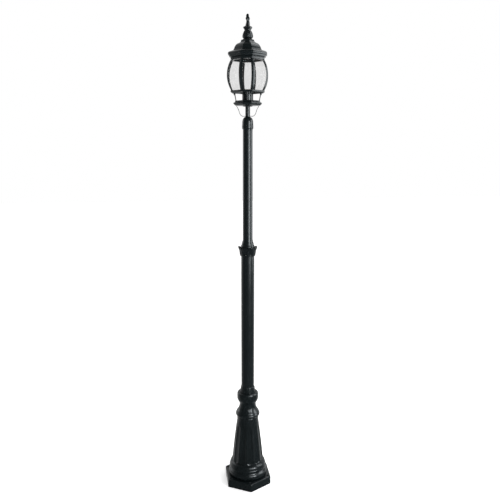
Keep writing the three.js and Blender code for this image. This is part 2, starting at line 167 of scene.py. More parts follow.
def spun(profile, plan, shape=None):
    """An open (r, z) profile carried round, both its ends closed by a flat or pointed cap."""
    verts, faces = turned(profile, plan, shape)
    n, m = len(profile), len(plan)
    faces = [f for i, f in enumerate(faces) if i % n != n - 1]
    faces.append(tuple(j * n for j in reversed(range(m))))
    faces.append(tuple(j * n + n - 1 for j in range(m)))
    return verts, faces


def lofted(rings):
    """Body from equal closed rings of points, with caps."""
    rings = np.array(rings, float)
    m, n = rings.shape[:2]
    faces = [(k * n + i, k * n + (i + 1) % n, (k + 1) * n + (i + 1) % n, (k + 1) * n + i)
             for k in range(m - 1) for i in range(n)]
    faces.append(tuple(reversed(range(n))))
    faces.append(tuple(range((m - 1) * n, m * n)))
    return rings.reshape(-1, 3), faces


def swept(path, radius, sides=16):
    """Round rod along a smooth path; radius(t) is its size along it."""
    path = np.array(path, float)
    side = np.array([0.31, 0.22, 0.92])
    rings = []
    for i, p in enumerate(path):
        d = path[min(i + 1, len(path) - 1)] - path[max(i - 1, 0)]
        d /= np.linalg.norm(d)
        side = side - d * (side @ d)
        side /= np.linalg.norm(side)
        other = np.cross(d, side)
        r = radius(i / (len(path) - 1))
        rings.append([p + r * (math.cos(a) * side + math.sin(a) * other)
                      for a in np.arange(sides) * TAU / sides])
    return lofted(rings)


def shell(grid, thick):
    """Closed leaf from a grid of surface points, given some thickness on its inner side."""
    g = np.array(grid, float)
    du = np.gradient(g, axis=1)
    dv = np.gradient(g, axis=0)
    nrm = np.cross(du, dv)
    nrm /= np.maximum(np.linalg.norm(nrm, axis=2, keepdims=True), 1e-9)
    rows, cols = g.shape[:2]
    verts = np.concatenate([g.reshape(-1, 3), (g - nrm * thick).reshape(-1, 3)])
    off = rows * cols

    def at(i, j):
        return i * cols + j
    faces = []
    for i in range(rows - 1):
        for j in range(cols - 1):
            faces.append((at(i, j), at(i, j + 1), at(i + 1, j + 1), at(i + 1, j)))
            faces.append((off + at(i, j), off + at(i + 1, j), off + at(i + 1, j + 1), off + at(i, j + 1)))
    rim = ([at(0, j) for j in range(cols)] + [at(i, cols - 1) for i in range(1, rows)]
           + [at(rows - 1, j) for j in range(cols - 2, -1, -1)] + [at(i, 0) for i in range(rows - 2, 0, -1)])
    for a, b in zip(rim, rim[1:] + rim[:1]):
        faces.append((b, a, off + a, off + b))
    return verts, faces


def spin(mesh, deg):
    """The same shape turned about the post's axis."""
    a = math.radians(deg)
    c, s = math.cos(a), math.sin(a)
    turn = np.array([[c, -s, 0], [s, c, 0], [0, 0, 1]])
    return mesh[0] @ turn.T, mesh[1]


def piece(name, body, meshes, material, nodes, sharp=38, bevel=0.0):
    """One object from several (points, faces), riding on a body and standing for CAD nodes."""
    verts, faces = [], []
    for v, f in meshes:
        off = sum(len(x) for x in verts)
        verts.append(np.asarray(v) * MM)
        faces += [tuple(off + i for i in face) for face in f]
    mesh = bpy.data.meshes.new(name)
    mesh.from_pydata(np.concatenate(verts).tolist(), [], faces)
    mesh.validate()
    mesh.polygons.foreach_set("use_smooth", [True] * len(mesh.polygons))
    mesh.set_sharp_from_angle(angle=math.radians(sharp))
    mesh.materials.append(material)
    obj = bpy.data.objects.new(name, mesh)
    bpy.context.scene.collection.objects.link(obj)
    if bevel:
        mod = obj.modifiers.new("edges", "BEVEL")
        mod.width, mod.segments, mod.limit_method = bevel * MM, 2, "ANGLE"
        mod.angle_limit = math.radians(sharp)
        mod.harden_normals = True
    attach(obj, body)
    if nodes:
        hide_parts(*nodes)
    return obj


# ---- materials ----------------------------------------------------------------------------------
GLASS_FILM = 0.066                # thinnest share of the film on the panes


def new_material(name):
    mat = bpy.data.materials.new(name)
    mat.use_nodes = True
    nodes = mat.node_tree.nodes
    nodes.clear()
    out = nodes.new("ShaderNodeOutputMaterial")
    bsdf = nodes.new("ShaderNodeBsdfPrincipled")
    mat.node_tree.links.new(bsdf.outputs[0], out.inputs[0])
    return mat, bsdf


def noise(mat, scale, detail=3.0, rough=0.5, stretch=(1, 1, 1)):
    """Noise over the piece's own coordinates, its output between 0 and 1."""
    nodes, links = mat.node_tree.nodes, mat.node_tree.links
    coord = nodes.new("ShaderNodeTexCoord")
    mapping = nodes.new("ShaderNodeMapping")
    mapping.inputs["Scale"].default_value = stretch
    tex = nodes.new("ShaderNodeTexNoise")
    tex.inputs["Scale"].default_value = scale
    tex.inputs["Detail"].default_value = detail
    tex.inputs["Roughness"].default_value = rough
    links.new(coord.outputs["Object"], mapping.inputs["Vector"])
    links.new(mapping.outputs["Vector"], tex.inputs["Vector"])
    return tex.outputs["Fac"]


def ramp(mat, source, stops):
    """Colour ramp from (place, colour) stops; a grey stop may be a single number."""
    node = mat.node_tree.nodes.new("ShaderNodeValToRGB")
    el = node.color_ramp.elements
    while len(el) < len(stops):
        el.new(0.5)
    for e, (pos, col) in zip(el, stops):
        e.position = pos
        e.color = (col, col, col, 1) if isinstance(col, (int, float)) else (*col, 1)
    mat.node_tree.links.new(source, node.inputs["Fac"])
    return node.outputs["Color"]


def bump(mat, bsdf, source, distance, strength, before=None):
    """Relief of the given height in metres, laid over another relief if one is given."""
    node = mat.node_tree.nodes.new("ShaderNodeBump")
    node.inputs["Distance"].default_value = distance
    node.inputs["Strength"].default_value = strength
    mat.node_tree.links.new(source, node.inputs["Height"])
    if before is not None:
        mat.node_tree.links.new(before, node.inputs["Normal"])
    mat.node_tree.links.new(node.outputs["Normal"], bsdf.inputs["Normal"])
    return node.outputs["Normal"]


def mixed(mat, a, b, fac):
    """Blend from the socket a towards the plain colour b, by the socket fac."""
    node = mat.node_tree.nodes.new("ShaderNodeMix")
    node.data_type = "RGBA"
    mat.node_tree.links.new(fac, node.inputs[0])
    mat.node_tree.links.new(a, node.inputs[6])
    node.inputs[7].default_value = (*b, 1)
    return node.outputs[2]


def paint(name, grain):
    """Dark green-black satin coat on a casting: soft mottling, orange peel, a trace of dust.
    grain is how coarse the cast surface under the coat is."""
    mat, bsdf = new_material(name)
    links = mat.node_tree.links
    base = ramp(mat, noise(mat, 9.0, 4.0, 0.55),
                [(0.3, (0.0040, 0.0060, 0.0068)), (0.7, (0.0062, 0.0090, 0.0098))])
    dusty = ramp(mat, noise(mat, 34.0, 5.0, 0.7), [(0.6, 0.0), (0.95, 0.07)])
    links.new(mixed(mat, base, (0.055, 0.056, 0.052), dusty), bsdf.inputs["Base Color"])
    rough = ramp(mat, noise(mat, 26.0, 3.0, 0.6), [(0.3, 0.20), (0.72, 0.27)])
    links.new(rough, bsdf.inputs["Roughness"])
    bsdf.inputs["Specular IOR Level"].default_value = 0.44
    bsdf.inputs["Specular Tint"].default_value = (0.90, 0.97, 1.0, 1)
    peel = bump(mat, bsdf, noise(mat, 620.0, 1.0, 0.4), 0.00003, 0.3)
    bump(mat, bsdf, noise(mat, 95.0, 2.0, 0.5), 0.0002 * grain, 0.35, peel)
    return mat


def plated():
    """Zinc-plated steel with a fine drawn grain."""
    mat, bsdf = new_material("zinc_plated")
    links = mat.node_tree.links
    bsdf.inputs["Metallic"].default_value = 1.0
    grain = noise(mat, 140.0, 3.0, 0.6, (1, 1, 0.08))
    links.new(ramp(mat, grain, [(0.3, (0.42, 0.43, 0.42)), (0.7, (0.58, 0.59, 0.57))]),
              bsdf.inputs["Base Color"])
    links.new(ramp(mat, noise(mat, 60.0), [(0.3, 0.3), (0.7, 0.48)]), bsdf.inputs["Roughness"])
    bump(mat, bsdf, grain, 0.0001, 0.3)
    return mat


def clear_glass():
    """Clear panes: see-through, greyed by a thin dark film, with a weak gloss."""
    mat, bsdf = new_material("lantern_glass")
    nodes, links = mat.node_tree.nodes, mat.node_tree.links
    out = next(n for n in nodes if n.type == "OUTPUT_MATERIAL")
    clear = nodes.new("ShaderNodeBsdfTransparent")
    links.new(ramp(mat, noise(mat, 7.0, 2.0), [(0.3, (0.985, 0.985, 0.985)), (0.7, (0.995, 0.995, 0.995))]),
              clear.inputs["Color"])
    film = ramp(mat, noise(mat, 46.0, 5.0, 0.65), [(0.35, GLASS_FILM), (0.8, GLASS_FILM * 1.5)])
    mix = nodes.new("ShaderNodeMixShader")
    links.new(film, mix.inputs[0])
    links.new(clear.outputs[0], mix.inputs[1])
    links.new(bsdf.outputs[0], mix.inputs[2])
    links.new(mix.outputs[0], out.inputs[0])
    bsdf.inputs["Base Color"].default_value = (0.10, 0.10, 0.10, 1)
    links.new(ramp(mat, noise(mat, 90.0, 3.0), [(0.3, 0.08), (0.7, 0.16)]), bsdf.inputs["Roughness"])
    bump(mat, bsdf, noise(mat, 14.0, 1.0), 0.0006, 0.25)
    return mat


def porcelain():
    """Cream glaze of the lamp socket."""
    mat, bsdf = new_material("glazed_porcelain")
    links = mat.node_tree.links
    links.new(ramp(mat, noise(mat, 40.0, 3.0), [(0.3, (0.74, 0.70, 0.62)), (0.7, (0.82, 0.79, 0.72))]),
              bsdf.inputs["Base Color"])
    links.new(ramp(mat, noise(mat, 90.0, 2.0), [(0.3, 0.12), (0.7, 0.25)]), bsdf.inputs["Roughness"])
    bump(mat, bsdf, noise(mat, 120.0, 2.0), 0.0001, 0.3)
    return mat


def black_rubber():
    """Dull moulded rubber of the washer."""
    mat, bsdf = new_material("black_rubber")
    links = mat.node_tree.links
    links.new(ramp(mat, noise(mat, 70.0, 3.0), [(0.3, 0.012), (0.7, 0.026)]), bsdf.inputs["Base Color"])
    links.new(ramp(mat, noise(mat, 50.0, 2.0), [(0.3, 0.6), (0.7, 0.8)]), bsdf.inputs["Roughness"])
    bump(mat, bsdf, noise(mat, 300.0, 2.0), 0.0002, 0.4)
    return mat


CAST = paint("painted_casting", 1.0)
SLEEK = paint("painted_tube", 0.35)
ZINC = plated()
GLASS = clear_glass()
CHINA = porcelain()
RUBBER = black_rubber()


# ---- the post -----------------------------------------------------------------------------------
def cut_holes(obj, cutter_mesh):
    """Bolt holes cut through a finished piece."""
    mesh = bpy.data.meshes.new("cutter")
    verts = np.concatenate([np.asarray(v) for v, _ in cutter_mesh]) * MM
    faces, off = [], 0
    for v, f in cutter_mesh:
        faces += [tuple(off + i for i in face) for face in f]
        off += len(v)
    mesh.from_pydata(verts.tolist(), [], faces)
    cutter = bpy.data.objects.new("cutter", mesh)
    bpy.context.scene.collection.objects.link(cutter)
    mod = obj.modifiers.new("holes", "BOOLEAN")
    mod.operation, mod.solver, mod.object = "DIFFERENCE", "EXACT", cutter
    bpy.context.view_layer.update()
    done = bpy.data.meshes.new_from_object(obj.evaluated_get(bpy.context.evaluated_depsgraph_get()))
    obj.modifiers.clear()
    obj.data = done
    bpy.data.objects.remove(cutter)
    done.polygons.foreach_set("use_smooth", [True] * len(done.polygons))
    done.set_sharp_from_angle(angle=math.radians(30))


def build_foot():
    wall = 8.0
    hexagon = turned(rounded([
        (FOOT_R, 0, 0.8), (FOOT_R, FOOT_TOP, 4.5), (72, FOOT_TOP, 0.1), (72, FOOT_TOP - 9, 0.1),
        (FOOT_R - wall - 2, FOOT_TOP - 9, 3), (FOOT_R - wall, 0, 0.8)], steps=6), SIX)
    obj = piece("foot", "post", [hexagon], CAST, ["foot_casting"])
    drill = [(BOLT_HOLE + 1.2, FOOT_TOP + 1), (BOLT_HOLE + 1.2, FOOT_TOP + 0.01), (BOLT_HOLE, FOOT_TOP - 1.2),
             (BOLT_HOLE, FOOT_TOP - 20)]
    bits = []
    for i in range(6):
        v, f = spun(drill[::-1], round_plan(32))
        bits.append((v + polar(BOLT_R, 60 * i, 0), f))
    cut_holes(obj, bits)
    top = high("foot_casting")
    outer = (arc(88, 58, 11.2, 16.2, -82, 66, 24) + [(91.2, 75.4)]
             + arc(84, 88.5, 12, 12.8, -62, 34, 18)
             + flowing([(93.4, 98), (91.6, 105), (88.6, 111.5), (84, 115)], 5)
             + [(83.2, 116.2), (82, 116.8), (82, top)])
    inner = [(72, top), (76, 92), (80, 60), (80, 42.2)]
    piece("foot_mouldings", "post", [turned(outer + inner, round_plan(128))], CAST, [])


def flute_cut(r, z, deg, z0, z1):
    """Depth of the nearest flute: a round-ended trough that narrows with the cone."""
    width = TAU / FLUTES * 0.40
    off = (math.radians(deg - FLUTE_TURN) % (TAU / FLUTES)) - math.pi / FLUTES
    low_end, high_end = z0 + 16, z1 - 46
    across = abs(off) / width
    half = width * r
    beyond = np.maximum(np.maximum(low_end - z, z - high_end), 0) / half
    return np.sqrt(np.clip(1 - across ** 2 - beyond ** 2, 0, 1)) ** 0.8


def build_cone():
    z0, z1 = low("fluted_cone"), high("fluted_cone")
    t = np.linspace(0, 1, 150)
    r = CONE_R[0] + (CONE_R[1] - CONE_R[0]) * t + 1.2 * np.sin(math.pi * t)
    outer = list(zip(r, z0 + (z1 - z0) * t))
    inner = [(40, z1), (40, z0 + 120), (66, z0)]

    def flute(rr, zz, deg):
        outside = (rr > 50) & (zz < z1 - 20)
        return rr - FLUTE_DEPTH * flute_cut(rr, zz, deg, z0, z1) * outside, zz
    plan = round_plan(FLUTES * 22, FLUTE_TURN)
    piece("fluted_cone_shell", "post", [turned(outer + inner, plan, flute)], CAST,
          ["fluted_cone"], sharp=50)


def build_neck():
    z0, z1 = low("neck_vase"), high("neck_vase")
    outer = ([(54.6, z0), (55.2, z0 + 3), (55.3, 366), (54.4, 367.6)]
             + arc(51.4, 380.2, 10.8, 12, -70, 56, 22)
             + [(56.4, 390.6), (57.2, 391.2)]
             + flowing([(57.9, 392.6), (55.6, 397), (51.2, 402.8), (47.6, 409), (45, 416), (43.2, 425),
                        (42.2, 434), (42.6, 440), (43.4, z1)], 8))
    inner = [(38, z1), (38, 420), (48, 381), (46, z0)]

    def leafy(r, z, deg):
        """Broad leaf shapes pressed into the flare, their points reaching up to the waist."""
        u = ((deg - 6) / 45) % 1 - 0.5
        edge = 419 - 20 * (abs(u) * 2) ** 2.2
        rise = 0.4 * (1 - smooth(edge - 1.2, edge + 1.2, z)) * smooth(392, 396, z)
        rib = 0.15 * math.exp(-(u / 0.04) ** 2) * smooth(394, 400, z) * (1 - smooth(411, 418, z))
        return r + np.where(r > 41, rise + rib - 0.3 * smooth(392, 396, z) * (z < 425), 0), z
    piece("neck", "post", [turned(outer + inner, round_plan(192), leafy)], CAST, ["neck_vase"])


def build_drum():
    z0, z1 = low("collar_drum"), high("collar_drum")
    outer = ([(43.8, z0 + 0.2)]
             + flowing([(46.4, z0 + 1.6), (49, 452), (51.8, 457.5), (53.8, 463), (54.5, 469)], 5)
             + [(54.6, 472), (54.5, 484)]
             + flowing([(54.3, 489), (53.5, 493.5), (51.4, 497.2), (48, z1 - 0.5), (45, z1)], 5)
             + [(42.4, 499.2), (41.6, 497.6)])
    inner = [(36, 497.4), (36, z0 + 0.2)]
    piece("collar", "post", [turned(outer + inner, round_plan(128))], CAST, ["collar_drum"])


def leaf_grid(base_r, tip_r, z0, z1, half_deg, ridge, rows=22, cols=17):
    """Surface of one pointed leaf standing on a round body, with a raised middle and scalloped edges."""
    grid = []
    for i in range(rows):
        t = i / (rows - 1)
        wide = half_deg * math.cos(0.5 * math.pi * t ** 1.7) ** 0.8 * (1 - 0.1 * abs(math.sin(t * 9.4)))
        wide = max(wide, 0.06 * half_deg)
        row = []
        for j in range(cols):
            s = 2 * j / (cols - 1) - 1
            r = base_r + (tip_r - base_r) * t
            r += ridge * (1 - abs(s)) ** 1.3 * (1 - 0.6 * t) - 0.3 * ridge * abs(math.cos(s * 4.5)) * (1 - t)
            row.append(polar(r, s * wide, z0 + (z1 - z0) * t - 1.2 * s * s * t))
        grid.append(row)
    return grid


def build_leaf_collar():
    z0, z1 = low("leaf_collar"), high("leaf_collar")
    bed = turned(flowing([(40, z0), (38.8, z0 + 6), (36.6, z0 + 13), (34.8, z0 + 20), (33.8, z0 + 27)], 6)
                 + [(33.4, z1 - 5), (TUBE_R + GAP, z1 - 4.4), (TUBE_R + GAP, z0)], round_plan(96))
    front = shell(leaf_grid(40.2, 35.3, z0 + 0.3, z1 - 7, 20, ridge=1.3), 1.6)
    behind = shell(leaf_grid(38.2, 33.9, z0 + 5, z1 - 1, 17, ridge=0.9), 1.2)
    leaves = [spin(leaf, LEAF_TURN + shift + 45 * i) for leaf, shift in ((front, 0), (behind, 22.5))
              for i in range(LEAVES)]
    piece("leaf_ring", "post", [bed, *leaves], CAST, ["leaf_collar"], sharp=60)


def build_tubes():
    for name, node, r0, r1 in (("tube_lower", "lower_tube", TUBE_R, TUBE_R),
                               ("tube_upper", "upper_tube", *UPPER_R)):
        z0, z1 = low(node), high(node)
        steps = 24
        outer = [(r0 + (r1 - r0) * i / steps, z0 + (z1 - z0) * i / steps) for i in range(steps + 1)]
        inner = [(r - TUBE_WALL, z) for r, z in (outer[-1], outer[0])]
        piece(name, "post", [turned(outer + inner, round_plan(96))], SLEEK, [node])


def petal_grid(z0, rows=28, cols=21):
    """One petal of the coupling: it hugs the cup, widens, and its pointed tip rolls outwards."""
    spine = flowing([(36.6, z0 + 9), (37.2, z0 + 15), (39.6, z0 + 23), (43.2, z0 + 31), (46.4, z0 + 38.5),
                     (48.4, z0 + 43.6), (48.9, z0 + 46.6), (48, z0 + 48)], 8)
    grid = []
    for i in range(rows):
        t = i / (rows - 1)
        r, z = spine[round(t * (len(spine) - 1))]
        wide = 22 * (1 - 0.9 * smooth(0.56, 1.02, t) ** 1.3) * (0.95 + 0.05 * math.cos(t * 16))
        row = []
        for j in range(cols):
            s = 2 * j / (cols - 1) - 1
            cup = -1.9 * s * s * t + 0.9 * math.exp(-(s / 0.16) ** 2) * (1 - 0.4 * t)
            lobes = -0.5 * math.cos(s * 9) * (1 - abs(s)) * t
            row.append(polar(r + cup + lobes, s * wide, z - 2.4 * s * s * t))
        grid.append(row)
    return grid


def build_coupling():
    z0 = low("coupling_cup")
    body = turned([(TUBE_R + GAP, z0), (35.2, z0), (36, z0 + 0.8)]
                  + flowing([(36.4, z0 + 2.2), (36.5, z0 + 7), (36.8, z0 + 13), (38, z0 + 21),
                             (39.4, z0 + 28), (40.4, z0 + 36)], 5)
                  + [(39.8, z0 + 38.6), (38.6, z0 + 39), (36.8, z0 + 35), (TUBE_R + GAP, z0 + 31)],
                  round_plan(96))
    petal = shell(petal_grid(z0), 1.5)
    petals = [spin(petal, PETAL_TURN + 45 * i) for i in range(PETALS)]
    small = shell(leaf_grid(37.4, 44.2, z0 + 2, z0 + 44.4, 15, ridge=0.9), 1.2)
    behind = [spin(small, PETAL_TURN + 22.5 + 45 * i) for i in range(PETALS)]
    piece("petal_cup", "post", [body, *petals, *behind], CAST, ["coupling_cup"], sharp=60)
    zc = low("coupling_cone")
    cone = ([(32, zc), (33.6, zc + 1.4), (34.1, zc + 5)]
            + flowing([(34.2, zc + 15), (33.8, 1268.5), (32.6, 1271.4), (30.9, 1273.2)], 5)
            + flowing([(30.2, 1274.6), (30.1, 1277.5), (29.4, 1281.5), (28, 1286), (26.4, 1290.5),
                       (25.5, 1294)], 5)
            + [(25.2, 1296.4), (24.9, 1297), (24.7, 1297), (24.7, zc + 8), (30, zc)])
    piece("coupling_top", "post", [turned(cone, round_plan(96))], CAST, ["coupling_cone"])


# ---- the lantern's stand ------------------------------------------------------------------------
def build_cap():
    z0, z1 = low("post_cap"), high("post_cap")
    outer = ([(24.4, z0), (25.2, z0 + 0.3)]
             + flowing([(26, z0 + 2), (26.9, z0 + 6), (27.1, z0 + 10), (26.9, z0 + 16), (26.3, z0 + 23),
                        (26.1, z0 + 30)], 5)
             + arc(11, 1862.6, 15, 26.2, 6, 74, 18) + flowing([(14.2, 1888.6), (13, 1889.8), (12.2, z1)], 4))
    inner = [(STEM_R + 0.2, z1), (STEM_R + 0.2, 1877), (20, 1872), (24.1, 1866), (24.1, z0)]
    piece("cap", "head", [turned(outer + inner, round_plan(96))], CAST, ["post_cap"])
    zs, ze = low("stem_tube"), high("stem_tube")
    stem = [(STEM_R, zs + (ze - zs) * i / 8) for i in range(9)] + [(STEM_R - 2.5, ze), (STEM_R - 2.5, zs)]
    piece("stem", "head", [turned(stem, round_plan(64))], SLEEK, ["stem_tube"])


def build_saucer():
    z0, z1 = low("saucer_hub"), high("saucer_hub")
    hub = turned(rounded([(STEM_R + 0.2, z0), (20, z0), (23.2, z0 + 2.2), (23.4, z1),
                          (STEM_R + 0.2, z1)], 1.2),
                 round_plan(64))
    piece("hub", "head", [hub], CAST, ["saucer_hub"])
    z0, z1 = low("saucer"), high("saucer")
    outer = ([(13, z0), (59.4, z0)]
             + flowing([(61, z0 + 0.4), (64, z0 + 2.8), (67, z0 + 5.8), (69.8, z0 + 8.2)], 5)
             + [(70.2, z0 + 9.2), (70.2, z0 + 11)]
             + flowing([(69.4, z0 + 12.2), (65.5, z0 + 13.8), (62.6, z0 + 16), (61.2, z0 + 19)], 5)
             + [(60.6, z1 - 0.6), (60, z1), (54, z1), (52.4, z1 - 1.4), (51, z1 - 6), (49.6, z1 - 7),
                (36, z1 - 7), (34.6, z1 - 5.6), (34, z1 - 1), (33, z1), (13, z1)])
    piece("saucer_plate", "head", [turned(outer, EIGHT)], CAST, ["saucer"], sharp=45)


def build_holder():
    z0, z1 = low("holder_cup"), high("holder_cup")
    cup = [(13, z0), (25.2, z0, 1.5), (26, z0 + 2, 1), (26, z1, 1.2), (23.6, z1, 0.8), (23.5, z0 + 6),
           (13, z0 + 6)]
    piece("cup", "head", [turned(rounded(cup, 0.5), round_plan(80))], SLEEK, ["holder_cup"])
    z0, z1 = low("lamp_holder"), high("lamp_holder")
    holder = [(9, z0, 0.4), (21, z0, 2), (21, 1989), (22.3, 1992, 1), (22.3, z1 - 2.4, 1.5), (20.4, z1, 1.2),
              (15.6, z1, 1), (14.6, z1 - 2, 0.6), (14.2, 1980, 0.8), (9, 1980, 0.5)]
    piece("socket", "head", [turned(rounded(holder, 0.6), round_plan(72))], CHINA,
          ["lamp_holder"])


def build_legs():
    z0, z1 = high("saucer") + 0.2, low("bottom_rim") - 0.1
    for i, deg in enumerate(QUARTERS):
        foot, head = polar(55, deg, z0), polar(62, deg, z1)
        path = [foot + (head - foot) * t for t in np.linspace(0, 1, 14)]
        stem = swept(path, lambda t: 1.9 + 0.7 * t + 1.1 * max(0, 1 - t / 0.12) ** 2)
        profile = [(0.01, -13.9), (2.6, -13.8), (3.4, -13), (4.2, -11), (4.8, -8.8), (4.9, -0.3),
                   (4.5, 0), (0.01, 0)]
        v, f = spun(profile, round_plan(24))
        top = polar(62, deg, high("bottom_rim") - RIM_SHELF - 0.2)
        piece(f"post_leg_{i + 1}", "head", [stem, (v + top, f)], CAST, [f"leg_{i + 1}"])


def build_scrolls():
    z0 = low("saucer")
    guide = [(53, z0 - 1.5), (50.4, z0 - 5.6), (46, z0 - 13.5), (42.2, z0 - 21.5), (39.6, z0 - 30),
             (37, z0 - 37.6), (33, z0 - 43.6), (27.6, z0 - 47.4), (22.4, z0 - 48.8), (17.2, z0 - 48.6),
             (12.4, z0 - 48.3)]
    line = flowing(guide, 7)
    for i, deg in enumerate(QUARTERS):
        rod = swept([polar(r, deg, z) for r, z in line], lambda t: 1.2 - 0.1 * smooth(0.8, 1, t), 14)
        piece(f"rod_scroll_{i + 1}", "head", [rod], SLEEK, [f"scroll_{i + 1}"])


# ---- the glazed body ----------------------------------------------------------------------------
BARREL_R, BARREL_Z, BARREL_MAX = 131.0, 2078.0, 100.0
RIB_T, RIB_FLANGE, PANE_T = 1.6, 9.4, 2.6


def barrel(z):
    return BARREL_MAX - BARREL_R + math.sqrt(BARREL_R ** 2 - (z - BARREL_Z) ** 2)


def build_rim_and_frame():
    z0, z1 = low("bottom_rim"), high("bottom_rim")
    shelf = z1 - RIM_SHELF
    rim = ([(75.4, shelf), (75.6, z0 + 0.4), (76, z0), (77.6, z0)]
           + flowing([(78.6, z0 + 0.4), (79.4, z0 + 2), (81.2, z0 + 3.2)], 4)
           + [(83.2, z0 + 3.6), (83.4, z0 + 4.2), (83.4, z1 - 1.6), (82.9, z1 - 0.8), (81.6, z1), (75, z1),
              (66.4, z1 - 2.8), (66, z1 - 3.2), (66, shelf)])
    piece("rim", "head", [turned(rim, EIGHT)], CAST, ["bottom_rim"], sharp=45)
    z0, z1 = low("top_frame"), high("top_frame")
    ring = rounded([(66, z0), (80.6, z0), (82, z0 + 1.4), (82, z1 - 4), (80.2, z1 - 2.6), (80.2, z1),
                    (66, z1)], 0.6)
    piece("upper_frame", "head", [turned(ring, EIGHT)], CAST, ["top_frame"], sharp=45)


def face_axes(deg):
    n = polar(1, deg, 0)
    return n, np.array([-n[1], n[0], 0])


def build_ribs():
    z0, z1 = low("rib_1"), high("rib_1")
    levels = np.linspace(z0, z1, 48)
    for i, deg in enumerate(QUARTERS):
        for k, (corner, left, right) in enumerate(((deg - NARROW_HALF, deg - 45, deg),
                                                   (deg + NARROW_HALF, deg, deg + 45))):
            nl, tl = face_axes(left)
            nr, tr = face_axes(right)
            slope = 1 / math.cos(math.radians((right - left) / 2))
            rings = []
            for z in levels:
                tip = polar(barrel(z), corner, z)
                inner = tip - polar(RIB_T * slope, corner, 0)
                a, b = tip - tl * RIB_FLANGE, tip + tr * RIB_FLANGE
                rings.append([a, tip, b, b - nr * RIB_T, inner, a - nl * RIB_T])
            name = f"rib_{2 * i + k + 1}"
            piece(f"corner_{name}", "head", [lofted(rings)], CAST, [name], sharp=24, bevel=0.5)


def build_panes():
    z0, z1 = low("pane_wide_1"), high("pane_wide_1")
    levels = np.linspace(z0, z1, 40)
    for kind, half, turn in (("narrow", NARROW_HALF, 0), ("wide", WIDE_HALF, 45)):
        for i, deg in enumerate(QUARTERS):
            n, t = face_axes(deg + turn)
            lean = math.tan(math.radians(half))
            rings = []
            for z in levels:
                face = barrel(z) * math.cos(math.radians(half)) - RIB_T - GAP
                ring = []
                for depth, side in ((face, -1), (face, 1), (face - PANE_T, 1), (face - PANE_T, -1)):
                    ring.append(n * depth + t * side * (depth * lean - 0.7) + np.array([0, 0, z]))
                rings.append(ring)
            name = f"pane_{kind}_{i + 1}"
            piece(f"glass_{kind}_{i + 1}", "head", [lofted(rings)], GLASS, [name], sharp=30)


# ---- roof and finial ----------------------------------------------------------------------------
def build_roof():
    z0, z1 = low("roof"), high("roof")
    outer = ([(76, z0), (84, z0), (86.4, z0 + 0.6), (88.2, z0 + 2), (88.4, z0 + 3), (88.4, z0 + 8.2),
              (89, z0 + 9), (92.6, z0 + 9.3), (93.9, z0 + 10)]
             + flowing([(94.6, z0 + 11.6), (94.6, z0 + 15.8), (93.4, z0 + 19.4), (91, z0 + 22)], 5)
             + flowing([(89, z0 + 23.2), (83, z0 + 25.8), (76, z0 + 27.9), (71.4, z0 + 29.6)], 5)
             + [(69.4, z0 + 30.4), (69, z0 + 31.8)]
             + flowing([(67.2, z0 + 33.6), (65.4, z0 + 37.6), (63.6, z0 + 42.4), (61, z0 + 47.4),
                        (57.6, z0 + 52.6), (52.6, z0 + 57.6), (46, z0 + 61.6), (39, z0 + 64.6),
                        (34.6, z0 + 68), (32.4, z0 + 71.4)], 6)
             + [(31.8, z0 + 73), (31.6, z0 + 75.6), (30.6, z0 + 77), (28, z1)])
    inner = [(4, z1), (4, z1 - 4), (27, z0 + 72), (33, z0 + 63), (48, z0 + 56), (56, z0 + 47),
             (61.5, z0 + 34), (70, z0 + 26), (76, z0 + 20)]
    piece("roof_dome", "roof", [turned(outer + inner, EIGHT)], CAST, ["roof"], sharp=45)
    z0, z1 = low("roof_disc"), high("roof_disc")
    disc = rounded([(4, z0), (21, z0, 0.8), (22.6, (z0 + z1) / 2, 1.4), (20.4, z1, 0.8), (4, z1)], 0.3)
    piece("seat_disc", "roof", [turned(disc, round_plan(72))], CAST, ["roof_disc"])


def build_finial():
    z0, z1 = low("finial"), high("finial")
    guide = [(17.4, z0), (20.6, z0 + 0.6), (23, z0 + 2.4), (24.8, z0 + 5.6), (25.2, z0 + 10), (24.6, z0 + 15),
             (23.2, z0 + 20), (21.6, z0 + 24.6), (19.6, z0 + 29), (17, z0 + 32.6), (15.4, z0 + 35.4),
             (15.6, z0 + 38), (17.6, z0 + 41.6), (19.8, z0 + 45), (20.8, z0 + 48), (19.8, z0 + 50.4),
             (16.4, z0 + 52.4), (12.4, z0 + 54), (10.9, z0 + 57), (10.6, z0 + 62), (10, z0 + 67),
             (8.9, z0 + 72), (7.8, z0 + 76.6), (7.9, z0 + 79), (9.6, z0 + 83), (10.6, z0 + 87),
             (9.2, z0 + 91), (7.3, z0 + 95), (7.3, z0 + 98.6), (6.9, z0 + 102), (5.4, z0 + 105.2),
             (2.9, z0 + 107.4), (0.1, z1)]

    def sculpt(r, z, deg):
        """Leaves on the bulb, four flared petals, and a three-sided spire that twists upwards."""
        a = math.radians(deg)
        h = z - z0
        u = np.abs(((deg / 45) % 1) - 0.5) * 2
        leaf = (1 - smooth(0.0, 0.34, np.abs(u - 0.1))) * 0.9 + 0.9 * (1 - u)
        bulb = smooth(1.5, 8, h) * (1 - smooth(27, 34, h))
        groove = 1.0 * np.exp(-((u - 1) / 0.12) ** 2)
        r = r + bulb * (0.5 * leaf - groove - 0.7 + 0.35 * np.sin(h * 0.9 + 3 * u))
        crown = smooth(36, 46, h) * (1 - smooth(51, 54.5, h))
        r = r + crown * 2.6 * (np.abs(math.cos(2 * a)) ** 0.7 - 1) + crown * 0.5 * math.cos(16 * a)
        spire = smooth(55, 62, h)
        wave = np.cos(3 * a + np.radians((h - 55) * 6.2))
        return r + spire * r * 0.13 * (wave - 1) * (1 - smooth(100, 107, h)), z
    piece("finial_casting", "finial", [spun(flowing(guide, 7), round_plan(144), sculpt)], CAST,
          ["finial"], sharp=60)


